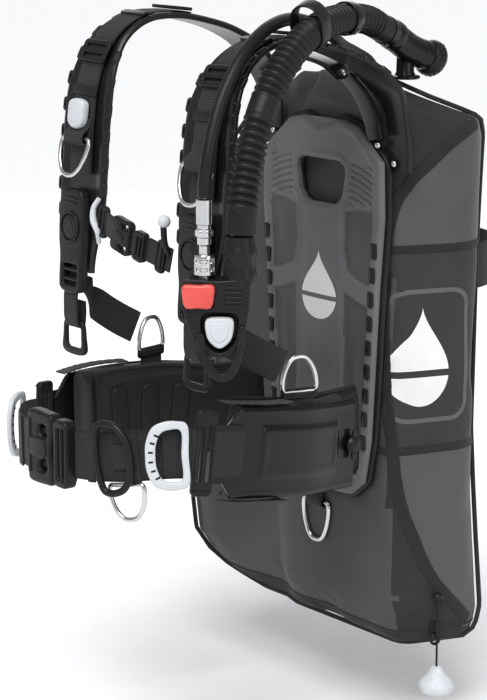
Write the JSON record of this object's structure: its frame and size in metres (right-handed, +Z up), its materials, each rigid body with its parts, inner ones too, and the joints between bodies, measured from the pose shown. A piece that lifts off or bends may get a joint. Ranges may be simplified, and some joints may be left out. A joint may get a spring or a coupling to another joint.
{
  "type": "buoyancy compensator vest",
  "caption": "Back-inflation diving vest: rigid backplate, air wing, tank cradle and band, moulded shoulder harness, waist belt with weight pockets, and an inflator on a hose.",
  "frame": {"origin": "middle of the cradle strip that the diving cylinder rests on, on its face and midway between the sides", "axes": "+Z up along the diver's spine, +Y towards the diving cylinder, +X towards the wearer's left"},
  "size_m": [0.4499, 0.5861, 0.7411],
  "materials": {
    "wing_fabric": "coated woven nylon, matt",
    "bladder_film": "welded polyurethane film",
    "pad_foam": "moulded foam with a satin skin",
    "moulded_black": "satin moulded nylon",
    "gloss_black": "gloss moulded",
    "webbing": "woven polyester webbing",
    "stainless": "polished stainless steel",
    "light_grey": "satin light grey",
    "coral": "satin coral red",
    "hose_rubber": "moulded rubber"
  },
  "bodies": {
    "vest": {"back_pad": "pad_foam", "backplate": "moulded_black", "wing_cover": "wing_fabric", "wing_bladder": "bladder_film", "tank_cradle": "moulded_black", "tank_band": "webbing", "cam_buckle": "moulded_black", "neck_yoke": "gloss_black", "shoulder_strap_left": "moulded_black", "strap_webbing_left": "webbing", "strap_buckle_left": "moulded_black", "lower_webbing_left": "webbing", "hip_pad_left": "pad_foam", "weight_pocket_left": "moulded_black", "hip_panel_left": "gloss_black", "ladder_buckle_left": "moulded_black", "waist_webbing_left": "webbing", "shoulder_strap_right": "moulded_black", "strap_webbing_right": "webbing", "strap_buckle_right": "moulded_black", "lower_webbing_right": "webbing", "hip_pad_right": "pad_foam", "weight_pocket_right": "moulded_black", "hip_panel_right": "gloss_black", "ladder_buckle_right": "moulded_black", "waist_webbing_right": "webbing", "sternum_webbing_right": "webbing", "sternum_webbing_left": "webbing", "sternum_socket": "moulded_black", "sternum_tongue": "moulded_black", "waist_socket": "moulded_black", "waist_tongue": "moulded_black", "inflator_body": "moulded_black", "deflate_spring": "stainless", "mouthpiece": "hose_rubber", "lp_coupler": "stainless", "corrugated_hose": "hose_rubber", "lp_hose": "hose_rubber", "first_stage_fitting": "stainless", "hose_elbow": "moulded_black", "overpressure_cap": "moulded_black", "dump_valve": "moulded_black"},
    "cam_lever": {"cam_lever": "moulded_black"},
    "crotch_ring": {"crotch_ring": "stainless"},
    "belt_ring": {"belt_ring": "moulded_black"},
    "belt_steel_ring": {"belt_steel_ring": "stainless"},
    "inflate_button": {"inflate_button": "coral"},
    "deflate_button": {"deflate_button": "light_grey"},
    "coupler_sleeve": {"coupler_sleeve": "stainless"},
    "dump_pull": {"dump_cord": "hose_rubber", "dump_knob": "light_grey"},
    "shoulder_dump_knob": {"shoulder_dump_knob": "light_grey"},
    "chest_ring_left": {"chest_ring_left": "stainless"},
    "chest_ring_right": {"chest_ring_right": "stainless"},
    "pull_ring_left": {"pull_ring_left": "moulded_black"},
    "pull_ring_right": {"pull_ring_right": "moulded_black"},
    "hip_ring_left": {"hip_ring_left": "stainless"},
    "hip_ring_right": {"hip_ring_right": "stainless"},
    "pocket_handle_left": {"pocket_handle_left": "light_grey"},
    "pocket_handle_right": {"pocket_handle_right": "light_grey"}
  },
  "joints": [
    {"name": "cam_lever_hinge", "type": "hinge", "parent": "vest", "child": "cam_lever", "pos_m": [-0.02288, 0.18609, 0.035], "axis": [0, 0, 1], "range_deg": [-110, 0]},
    {"name": "chest_ring_left_swing", "type": "hinge", "parent": "vest", "child": "chest_ring_left", "pos_m": [0.1041, -0.2851, 0.176], "axis": [1, 0, 0], "range_deg": [-75, 4]},
    {"name": "chest_ring_right_swing", "type": "hinge", "parent": "vest", "child": "chest_ring_right", "pos_m": [-0.1041, -0.2847, 0.1824], "axis": [1, 0, 0], "range_deg": [-75, 4]},
    {"name": "pull_ring_left_swing", "type": "hinge", "parent": "vest", "child": "pull_ring_left", "pos_m": [0.106, -0.2885, -0.008], "axis": [1, 0, 0], "range_deg": [-60, 10]},
    {"name": "pull_ring_right_swing", "type": "hinge", "parent": "vest", "child": "pull_ring_right", "pos_m": [-0.106, -0.2885, -0.008], "axis": [1, 0, 0], "range_deg": [-60, 10]},
    {"name": "hip_ring_left_swing", "type": "hinge", "parent": "vest", "child": "hip_ring_left", "pos_m": [0.127, -0.176, -0.055], "axis": [0.2079, 0.9781, 0], "range_deg": [-18, 18]},
    {"name": "hip_ring_right_swing", "type": "hinge", "parent": "vest", "child": "hip_ring_right", "pos_m": [-0.127, -0.176, -0.055], "axis": [-0.2079, 0.9781, 0], "range_deg": [-18, 18]},
    {"name": "crotch_ring_swing", "type": "hinge", "parent": "vest", "child": "crotch_ring", "pos_m": [-0.01, -0.038, -0.226], "axis": [1, 0, 0], "range_deg": [-75, 5]},
    {"name": "belt_ring_swing", "type": "hinge", "parent": "vest", "child": "belt_ring", "pos_m": [0.0754, -0.3821, -0.1039], "axis": [-0.132, -0.05, 0.99], "range_deg": [-40, 0]},
    {"name": "belt_steel_ring_swing", "type": "hinge", "parent": "vest", "child": "belt_steel_ring", "pos_m": [0.0903, -0.3673, -0.1302], "axis": [0.9173, 0.3701, 0.147], "range_deg": [-8, 8]},
    {"name": "pocket_handle_left_swing", "type": "hinge", "parent": "vest", "child": "pocket_handle_left", "pos_m": [0.1446, -0.3287, -0.0945], "axis": [0, 0, 1], "range_deg": [0, 50]},
    {"name": "pocket_handle_right_swing", "type": "hinge", "parent": "vest", "child": "pocket_handle_right", "pos_m": [-0.1444, -0.3289, -0.1167], "axis": [0, 0, 1], "range_deg": [-50, 0]},
    {"name": "inflate_button_press", "type": "slide", "parent": "vest", "child": "inflate_button", "axis": [-0.766, 0.6428, 0], "range_m": [0, 0.003], "stiffness_N_per_m": 900, "springref_m": -0.002},
    {"name": "deflate_button_press", "type": "slide", "parent": "vest", "child": "deflate_button", "axis": [-0.766, 0.6428, 0], "range_m": [0, 0.004], "stiffness_N_per_m": 900, "springref_m": -0.002},
    {"name": "coupler_sleeve_slide", "type": "slide", "parent": "vest", "child": "coupler_sleeve", "axis": [0, 0, 1], "range_m": [0, 0.005], "stiffness_N_per_m": 1200, "springref_m": -0.001},
    {"name": "dump_pull_slide", "type": "slide", "parent": "vest", "child": "dump_pull", "axis": [0, 0, -1], "range_m": [0, 0.015], "stiffness_N_per_m": 600, "springref_m": -0.003},
    {"name": "shoulder_dump_slide", "type": "slide", "parent": "vest", "child": "shoulder_dump_knob", "axis": [0, -0.9924, 0.123], "range_m": [0, 0.01], "stiffness_N_per_m": 600, "springref_m": -0.002}
  ]
}
